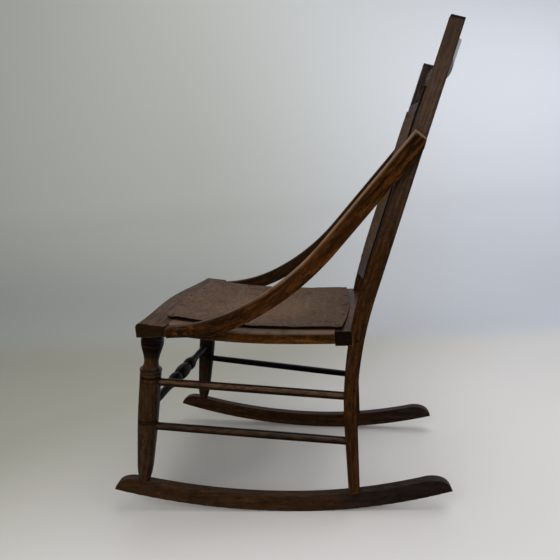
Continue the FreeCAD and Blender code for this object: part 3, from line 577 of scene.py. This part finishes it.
def addMesh(name, verts, faces, materials):
    mesh = bpy.data.meshes.new(name)
    mesh.from_pydata([tuple(v) for v in verts], [], faces)
    for material in materials:
        mesh.materials.append(material)
    mesh.polygons.foreach_set("use_smooth", [True] * len(mesh.polygons))
    mesh.update()
    made = bpy.data.objects.new(name, mesh)
    bpy.context.scene.collection.objects.link(made)
    return made


# Thin sheet from a grid of points on its face: rounded edges, cut edges in their own finish
# "turns" are the angles of its rounding, and "cutFrom" the ring of faces where the cut edge starts
rimLook = {"turns": (30, 60, 90), "underBevel": 0.4, "cutFrom": 2}


def rimOf(face, outward):  # border of the grid in order, its points, and the ways out of it and down from it
    rows, columns = face.shape[:2]
    border = ([(0, c) for c in range(columns)] + [(r, columns - 1) for r in range(1, rows)] +
              [(rows - 1, c) for c in range(columns - 2, -1, -1)] + [(r, 0) for r in range(rows - 2, 0, -1)])
    inner = [(min(max(r, 1), rows - 2), min(max(c, 1), columns - 2)) for r, c in border]
    rim = np.array([face[spot] for spot in border])
    away = rim - np.array([face[spot] for spot in inner])
    down = -np.array([outward[spot] for spot in border])
    away -= down * np.sum(away * down, axis=1, keepdims=True)
    away /= np.linalg.norm(away, axis=1, keepdims=True)
    return border, rim, away, down


def thinSheet(name, face, outward, thick, soft, materials):
    rows, columns = face.shape[:2]
    border, rim, away, down = rimOf(face, outward)
    bevel = soft * rimLook["underBevel"]
    turns = [math.radians(a) for a in rimLook["turns"]]
    profile = [(soft * math.sin(a), soft * (1 - math.cos(a))) for a in turns]
    profile += [(soft, thick - bevel), (soft - bevel, thick)]
    verts = list(face.reshape(-1, 3))
    rings = [[r * columns + c for r, c in border]]
    for out, drop in profile:
        rings.append(list(range(len(verts), len(verts) + len(border))))
        verts += list(rim + away * out + down * drop)
    under = len(verts)
    verts += list((face - outward * thick).reshape(-1, 3))
    rings.append([under + r * columns + c for r, c in border])
    faces = []
    for r in range(rows - 1):
        for c in range(columns - 1):
            a = r * columns + c
            quad = (a, a + 1, a + columns + 1, a + columns)
            faces += [quad, tuple(under + k for k in quad[::-1])]
    shades = [0] * len(faces)
    for k, (upper, lower) in enumerate(zip(rings, rings[1:])):
        for i in range(len(border)):
            j = (i + 1) % len(border)
            faces.append((upper[i], lower[i], lower[j], upper[j]))
            shades.append(1 if k >= rimLook["cutFrom"] else 0)
    sheet = addMesh(name, verts, faces, materials)
    sheet.data.polygons.foreach_set("material_index", shades)
    return sheet


def fades(distance, reach):  # 1 at no distance, about a third at the reach
    return math.exp(-(distance / reach) ** 2)


# Seat sheet: held by its tacks, lifting a little between them, sagging over the open frame
seatLook = {
    "columns": 121, "rows": 111, "thick": 0.0036, "soft": 0.0011, "sag": 0.0030,
    "frontBow": 0.018, "rearBow": 0.011, "hold": 0.009,
    "lift": {"left": 0.0026, "right": 0.0018, "front": 0.0004, "rear": 0.0006}, "liftReach": 0.030,
    "corner": (0.178, -0.2255), "cornerLift": 0.0022, "cornerReach": 0.055,
    "frontPart": -0.15, "rearPart": 0.1, "probeHeight": 1.0, "probeInset": 0.997,
}


def makeSeatSheet(look):
    panel = nodes["seat_panel"]
    corners = [v.co for v in panel.data.vertices]
    frontHalf = max(v.x for v in corners if v.y < look["frontPart"])
    rearHalf = max(v.x for v in corners if v.y > look["rearPart"])
    frontY = min(v.y for v in corners) + look["frontBow"]
    rearY = max(v.y for v in corners) - look["rearBow"]
    tacks = looseParts(nodes["seat_tacks"].data)
    soft = look["soft"]
    face = np.zeros((look["rows"], look["columns"], 3))
    for r in range(look["rows"]):
        v = r / (look["rows"] - 1)
        half = frontHalf + (rearHalf - frontHalf) * v - soft
        for c in range(look["columns"]):
            u = 2 * c / (look["columns"] - 1) - 1
            front = frontY - look["frontBow"] * (1 - u * u) + soft
            rear = rearY + look["rearBow"] * (1 - u * u) - soft
            x, y = u * half, front + (rear - front) * v
            probe = (x * look["probeInset"], y, look["probeHeight"])
            height = panel.ray_cast(probe, (0, 0, -1))[1].z
            fromEdge = {"left": half - x, "right": half + x, "front": y - front, "rear": rear - y}
            lift = sum(look["lift"][side] * fades(d, look["liftReach"]) for side, d in fromEdge.items())
            fromCorner = math.hypot(x - look["corner"][0], y - look["corner"][1])
            lift += look["cornerLift"] * fades(fromCorner, look["cornerReach"])
            held = max(fades(math.hypot(x - tack.x, y - tack.y), look["hold"]) for tack in tacks)
            sag = look["sag"] * (1 - u * u) ** 2 * math.sin(math.pi * v) ** 2
            face[r, c] = (x, y, height + lift * (1 - held) - sag)
    outward = np.zeros_like(face)
    outward[..., 2] = 1.0
    sheet = thinSheet("seatSheet", face, outward, look["thick"], soft, [seatFinish, sheetEdgeShadeFinish])
    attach(sheet, "root")
    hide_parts("seat_panel")


makeSeatSheet(seatLook)
print("seat sheet done")

backProbe = 0.2  # how far in front of the back a probe starts


def onBack(piece, x, t):  # point and normal of a piece's front face
    start = backFoot + Vector((x, 0, 0)) + backUp * t - backIn * backProbe
    hit, spot, normal = piece.ray_cast(start, backIn)[:3]
    return (spot, normal) if hit else (None, None)


# Back sheet: held by two rows of tacks, its long sides springing forward a little
backLook = {
    "columns": 91, "rows": 121, "thick": 0.0034, "soft": 0.0011,
    "side": 0.0012, "sideReach": 0.022, "hold": 0.02,
}


def makeBackSheet(look):
    panel = nodes["back_panel"]
    corners = [v.co - backFoot for v in panel.data.vertices]
    half = max(v.x for v in corners) - look["soft"]
    low = min(v.dot(backUp) for v in corners) + look["soft"]
    high = max(v.dot(backUp) for v in corners) - look["soft"]
    tacks = looseParts(nodes["back_tacks"].data)
    face = np.zeros((look["rows"], look["columns"], 3))
    outward = np.zeros_like(face)
    for r in range(look["rows"]):
        t = low + (high - low) * r / (look["rows"] - 1)
        for c in range(look["columns"]):
            x = half * (2 * c / (look["columns"] - 1) - 1)
            spot, normal = onBack(panel, x, t)
            held = max(fades((spot - tack).length, look["hold"]) for tack in tacks)
            spring = look["side"] * fades(half - abs(x), look["sideReach"]) * (1 - held)
            face[r, c] = spot + normal * spring
            outward[r, c] = normal
    sheet = thinSheet("backSheet", face, outward, look["thick"], look["soft"], [backFinish, sheetEdgeShadeFinish])
    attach(sheet, "root")
    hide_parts("back_panel")


makeBackSheet(backLook)
print("back sheet done")

# Pressing on the front of the crest, in millimetres above the board: rosette, scrolls and leaves in a bead
# A scroll has a place along the field, a rise, a size and a way round
# A leaf has a place along the field, a rise, a turn and a length
crestLook = {
    "low": 424.3, "endHeight": 35.0, "midHeight": 66.0, "reach": 161.0, "fieldHalf": 146.0, "fieldLow": 6.5,
    "fieldTop": 9.0, "margin": 1.2, "step": 0.6, "sunk": -0.6, "sunkEdge": 0.05, "ground": 0.15,
    "bead": 1.6, "beadHigh": 0.9, "stemStart": 25.0, "stemEnd": 137.0, "stemWave": 75.0, "stemSwing": 0.52,
    "stemWidth": (2.3, 1.2), "stemHigh": 1.3, "stemPoints": 240,
    "scrolls": ((45.0, -0.34, 0.40, 1), (81.0, 0.34, 0.42, -1), (117.0, -0.30, 0.42, 1)),
    "scrollTurns": 1.55, "scrollHigh": 1.2, "scrollWidth": (1.7, 1.275), "scrollShrink": 0.82,
    "scrollPoints": 110, "eye": 0.24, "eyeHigh": 1.56, "rosette": 16.5, "rosetteRim": 1.0,
    "petals": 10, "petalHigh": 1.5, "petalRound": 3,
    "petalReach": (0.66, 0.34, 0.6), "petalFold": (0.55, 0.45, 0.5),
    "button": 4.6, "buttonHigh": 1.875, "buttonRing": 1.2, "ringHigh": 0.5,
    "pearls": 26, "pearlGap": 3.2, "pearl": 1.75, "pearlHigh": 1.0,
    "leaves": ((36.0, 0.86, 15, 8.5), (52.0, 0.74, -22, 8.0), (64.0, -0.72, 30, 8.5),
               (72.0, -0.93, 5, 8.5), (93.0, -0.78, -28, 7.5), (100.0, 0.72, 30, 7.5),
               (110.0, 0.98, 8, 6.5), (129.0, 0.66, -35, 6.0), (139.0, -0.1, 0, 6.5),
               (29.0, -0.78, 48, 7.0), (62.0, 0.62, 62, 6.5), (98.0, -0.2, 40, 5.5)),
    "leafSpread": 0.82, "leafWidth": 0.42, "leafPoint": 1.6, "leafHigh": 1.15, "vein": 0.16, "veinDeep": 0.3,
    "veinFrom": 0.15, "leafThin": 0.001,
}
perMetre = 1000  # millimetres


def fieldMiddle(look, x):  # middle and half height of the pressed field at x
    swell = (1 + np.cos(np.pi * x / look["reach"])) / 2
    high = look["endHeight"] + (look["midHeight"] - look["endHeight"]) * swell - look["fieldTop"]
    return (high + look["fieldLow"]) / 2, (high - look["fieldLow"]) / 2


def rounded(share):  # half-round profile, high at 0 and flat from 1 on
    return np.sqrt(np.clip(1 - share ** 2, 0, 1))


def button(x, t, px, pt, radius, high):
    return high * rounded(np.hypot(x - px, t - pt) / radius)


def strip(x, t, points, widths, high):  # half-round strip along points, tapering between two widths
    best = np.full(x.shape, np.inf)
    taper = np.zeros(x.shape)
    for i, (px, pt) in enumerate(points):
        distance = np.hypot(x - px, t - pt)
        closer = distance < best
        best[closer] = distance[closer]
        taper[closer] = i / (len(points) - 1)
    return high * rounded(best / (widths[0] + (widths[1] - widths[0]) * taper))


def stem(look, x, t):
    along = np.linspace(look["stemStart"], look["stemEnd"], look["stemPoints"])
    middle, half = fieldMiddle(look, along)
    wave = np.sin(2 * np.pi * (along - look["stemStart"]) / look["stemWave"])
    points = list(zip(along, middle + look["stemSwing"] * half * wave))
    return strip(x, t, points, look["stemWidth"], look["stemHigh"])


def scroll(look, x, t, px, rise, size, way):  # spiral that ends round a button
    middle, room = fieldMiddle(look, px)
    pt = middle + rise * room
    radius = size * room
    turns = np.linspace(0, look["scrollTurns"] * 2 * np.pi, look["scrollPoints"])
    shrink = radius * (1 - look["scrollShrink"] * turns / turns[-1])
    spiral = list(zip(px - shrink * np.cos(turns), pt + way * shrink * np.sin(turns)))
    eye = button(x, t, px, pt, radius * look["eye"], look["eyeHigh"])
    return np.maximum(strip(x, t, spiral, look["scrollWidth"], look["scrollHigh"]), eye)


def leaf(look, x, t, px, rise, turn, long):  # pointed leaf with a sunk vein
    middle, room = fieldMiddle(look, px)
    pt = middle + rise * room * look["leafSpread"]
    a = math.radians(turn)
    along = ((x - px) * math.cos(a) + (t - pt) * math.sin(a)) / long
    across = (-(x - px) * math.sin(a) + (t - pt) * math.cos(a)) / (long * look["leafWidth"])
    body = np.clip(1 - np.abs(along) ** look["leafPoint"], 0, 1)
    rib = np.clip(1 - (across / np.maximum(body, look["leafThin"])) ** 2, 0, 1) * (body > 0)
    vein = look["veinDeep"] * np.exp(-(across / look["vein"]) ** 2) * (body > look["veinFrom"])
    return look["leafHigh"] * np.sqrt(rib * body) - vein


def withRosette(look, x, t, high):  # petals round a button, in a ring of pearls
    centre = fieldMiddle(look, 0.0)[0]
    radius = np.hypot(x, t - centre)
    lobes = np.abs(np.cos(np.arctan2(t - centre, x) * look["petals"] / 2))
    least, more, power = look["petalReach"]
    reach = look["rosette"] * (least + more * lobes ** power)
    petal = np.clip(1 - (radius / reach) ** look["petalRound"], 0, 1)
    least, more, power = look["petalFold"]
    flower = look["petalHigh"] * np.sqrt(petal) * (least + more * lobes ** power)
    flower = np.where(radius < look["button"] + look["buttonRing"], look["ringHigh"], flower)
    flower = np.maximum(flower, button(x, t, 0, centre, look["button"], look["buttonHigh"]))
    high = np.where(radius < look["rosette"] + look["rosetteRim"], np.maximum(flower, look["ground"]), high)
    ring = look["rosette"] + look["pearlGap"]
    for i in range(look["pearls"]):
        a = 2 * math.pi * i / look["pearls"]
        px, pt = ring * math.cos(a), centre + ring * math.sin(a)
        high = np.maximum(high, button(x, t, px, pt, look["pearl"], look["pearlHigh"]))
    return high


def pressing(look, x, t):
    x = np.abs(x)
    high = np.maximum(np.full(x.shape, look["ground"]), stem(look, x, t))
    for row in look["scrolls"]:
        high = np.maximum(high, scroll(look, x, t, *row))
    for row in look["leaves"]:
        high = np.maximum(high, leaf(look, x, t, *row))
    high = withRosette(look, x, t, high)
    middle, half = fieldMiddle(look, x)
    inside = np.minimum(half - np.abs(t - middle), look["fieldHalf"] - x)
    bead = look["beadHigh"] * rounded((inside - look["bead"]) / look["bead"])
    bead = np.maximum(bead, np.where(inside > look["bead"], look["ground"], look["sunk"]))
    high = np.where(inside < 2 * look["bead"], bead, high)
    return np.where(inside <= 0, look["sunk"], high)


def softened(high):  # the press leaves no sharp corners: half its own height, half its neighbours'
    padded = np.pad(high, 1, mode="edge")
    return (4 * high + padded[:-2, 1:-1] + padded[2:, 1:-1] + padded[1:-1, :-2] + padded[1:-1, 2:]) / 8


pressingLook = {
    # relief edges paler: wear and painted highlight
    "along": (1, 0, 0), "seed": (3.33, 2.07, 0.0), "pressed": 0.95, "edgeWear": 0.6, "edgeRadius": 0.0014,
    "deep": tint(26, 15, 8), "middle": tint(48, 30, 17), "warm": tint(78, 51, 30), "coat": 0.7,
}


def makeCrestPressing(look):
    crest = nodes["crest_rail"]
    margin = look["margin"]
    xs = np.arange(-look["fieldHalf"] - margin, look["fieldHalf"] + margin, look["step"])
    ts = np.arange(look["fieldLow"] - margin, look["midHeight"] - look["fieldTop"] + margin, look["step"])
    x, t = np.meshgrid(xs, ts)
    high = softened(pressing(look, x, t))
    numbers = np.full(x.shape, -1)
    verts = []
    faces = []
    for r in range(len(ts) - 1):
        for c in range(len(xs) - 1):
            if high[r:r + 2, c:c + 2].max() <= look["sunk"] + look["sunkEdge"]:
                continue
            quad = []
            for spot in ((r, c), (r, c + 1), (r + 1, c + 1), (r + 1, c)):
                if numbers[spot] < 0:
                    board = onBack(crest, x[spot] / perMetre, (look["low"] + t[spot]) / perMetre)[0]
                    numbers[spot] = len(verts)
                    verts.append(board - backIn * (high[spot] / perMetre))
                quad.append(int(numbers[spot]))
            faces.append(tuple(quad))
    skin = addMesh("crestPressing", verts, faces, [stainedWood("wood.crestPressing", **pressingLook)])
    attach(skin, "root")
    print("crest pressing done:", len(faces), "faces")


makeCrestPressing(crestLook)

# Studio sweep: floor, a soft cove behind the chair, then the wall
stageLook = {
    "coveStart": -0.69, "coveTurn": 0.0215, "coveRadius": 0.55, "front": 2.6, "reach": 4.0, "wallTop": 3.2,
    "steps": 24, "floorFar": (0.294, 0.286, 0.236, 1.0), "floorNear": (0.614, 0.593, 0.573, 1.0),
    "floorSlant": 1.26, "floorStep": (-1.2, 0.32), "wallLeft": (0.484, 0.502, 0.476, 1.0),
    "wallRight": (0.828, 0.865, 0.96, 1.0), "wallStep": (-0.68, 1.24),
    "shade": (0.0, 0.0, 0.0, 1.0), "lowShade": 0.387, "lowStep": (0.67, 0.11),
    "highFrom": 0.84, "highLeft": 0.02, "highRight": 1.4, "highMost": 0.5,
    "footStep": (0.0, 0.06), "mottle": ((5, 5, 5), 2.0), "gloss": 0.4, "mottleRough": 0.1, "shine": 0.35,
}


def paperFinish(look):  # painted light and shade: the paper darkens to the left, into the cove and up the wall
    finish = finishNamed("stage.paper")
    place = finish.place()
    x, y, z = finish.axes(place)
    nearness = (x + look["floorSlant"] * y).ease(*look["floorStep"])
    floor = finish.blend(nearness, look["floorFar"], look["floorNear"])
    side = y.ease(*look["wallStep"])
    above = (z - look["highFrom"]).most(0.0)
    high = above * above * (look["highLeft"] + (look["highRight"] - look["highLeft"]) * side)
    shade = z.ease(*look["lowStep"], look["lowShade"]) + high.least(look["highMost"])
    wall = finish.blend(shade, finish.blend(side, look["wallLeft"], look["wallRight"]), look["shade"])
    shader = finish.node("ShaderNodeBsdfPrincipled", {}, {
        "Base Color": finish.blend(z.ease(*look["footStep"]), floor, wall),
        "Roughness": look["gloss"] + look["mottleRough"] * finish.noise(place, *look["mottle"]),
        "Specular IOR Level": look["shine"],
    })
    behind = finish.node("ShaderNodeNewGeometry", {}, {}, "Backfacing")  # seen through from behind
    clear = finish.node("ShaderNodeBsdfTransparent", {}, {})
    shader = finish.node("ShaderNodeMixShader", {}, {0: behind, 1: shader, 2: clear})
    return finish.close("ShaderNodeOutputMaterial", shader)


def sweepStage(look):
    profile = [(look["front"], 0.0), (look["coveStart"], 0.0)]
    radius = look["coveRadius"]
    for i in range(1, look["steps"] + 1):
        turn = math.pi / 2 * i / look["steps"]
        profile.append((look["coveStart"] - radius * math.sin(turn), radius * (1 - math.cos(turn))))
    profile.append((profile[-1][0], look["wallTop"]))
    turn = Matrix.Rotation(look["coveTurn"], 3, "Z")
    verts = [turn @ Vector((x, y, z)) for x, z in profile for y in (-look["reach"], look["reach"])]
    faces = [(2 * i, 2 * i + 1, 2 * i + 3, 2 * i + 2) for i in range(len(profile) - 1)]
    sweep = addMesh("paperSweep", verts, faces, [paperFinish(look)])
    sweep.visible_glossy = False  # the lit floor leaves no haze on the dark wood


sweepStage(stageLook)
print("stage done")

# Camera where the photograph was taken from
cameraLook = {
    "place": (1.08462, 0.17093, 0.66862), "ahead": (-0.96704, -0.16943, -0.19005),
    "up": (-0.19959, 0.04103, 0.97902), "lens": 31.357, "sensor": 36.0,
}


def addCamera(look):
    data = bpy.data.cameras.new("photoCamera")
    data.lens = look["lens"]
    data.sensor_width = look["sensor"]
    data.sensor_fit = "HORIZONTAL"
    camera = bpy.data.objects.new("photoCamera", data)
    back = -Vector(look["ahead"]).normalized()
    right = Vector(look["up"]).cross(back).normalized()
    turn = Matrix((right, back.cross(right), back)).transposed().to_4x4()
    camera.matrix_world = Matrix.Translation(look["place"]) @ turn
    bpy.context.scene.collection.objects.link(camera)
    bpy.context.scene.camera = camera


addCamera(cameraLook)

# Soft studio light: a large box overhead and behind, a weak one beside the camera, and the room
lightLook = {
    "overhead": {"place": (-0.1, 0.6, 2.4), "target": (0.0, 0.0, 0.3), "size": 1.9, "power": 38.0,
                 "colour": (0.98, 0.99, 1.0), "glossy": True},
    "fill": {"place": (2.3, -0.9, 1.5), "target": (0.0, 0.0, 0.4), "size": 2.4, "power": 62.0,
             "colour": (1.0, 0.98, 0.95), "glossy": False},
}
roomLook = {
    "dim": (0.025, 0.025, 0.027, 1.0), "bright": (0.52, 0.54, 0.58, 1.0), "seen": (0.55, 0.55, 0.55, 1.0),
    "brightWay": (-0.6, 0.3, 0.75), "brightStep": (-0.4, 0.9),
}


def addLight(name, look):
    data = bpy.data.lights.new(name, "AREA")
    data.size = look["size"]
    data.energy = look["power"]
    data.color = look["colour"]
    lamp = bpy.data.objects.new(name, data)
    lamp.location = look["place"]
    aim = Vector(look["target"]) - Vector(look["place"])
    lamp.rotation_euler = aim.to_track_quat("-Z", "Y").to_euler()
    lamp.visible_glossy = look["glossy"]
    bpy.context.scene.collection.objects.link(lamp)


def lightRoom(look):  # darker on the camera's side
    room = Finish(bpy.data.worlds.new("studioRoom"))
    way = room.node("ShaderNodeTexCoord", {}, {}, "Generated")
    brightness = room.along(way, look["brightWay"]).ease(*look["brightStep"])
    colour = room.blend(brightness, look["dim"], look["bright"])
    seen = room.node("ShaderNodeLightPath", {}, {}, "Is Camera Ray")
    shader = room.node("ShaderNodeBackground", {}, {"Color": room.blend(seen, colour, look["seen"])})
    bpy.context.scene.world = room.close("ShaderNodeOutputWorld", shader)


for name, look in lightLook.items():
    addLight(name, look)
lightRoom(roomLook)
bpy.context.scene.view_settings.view_transform = "Standard"
print("camera and light done")
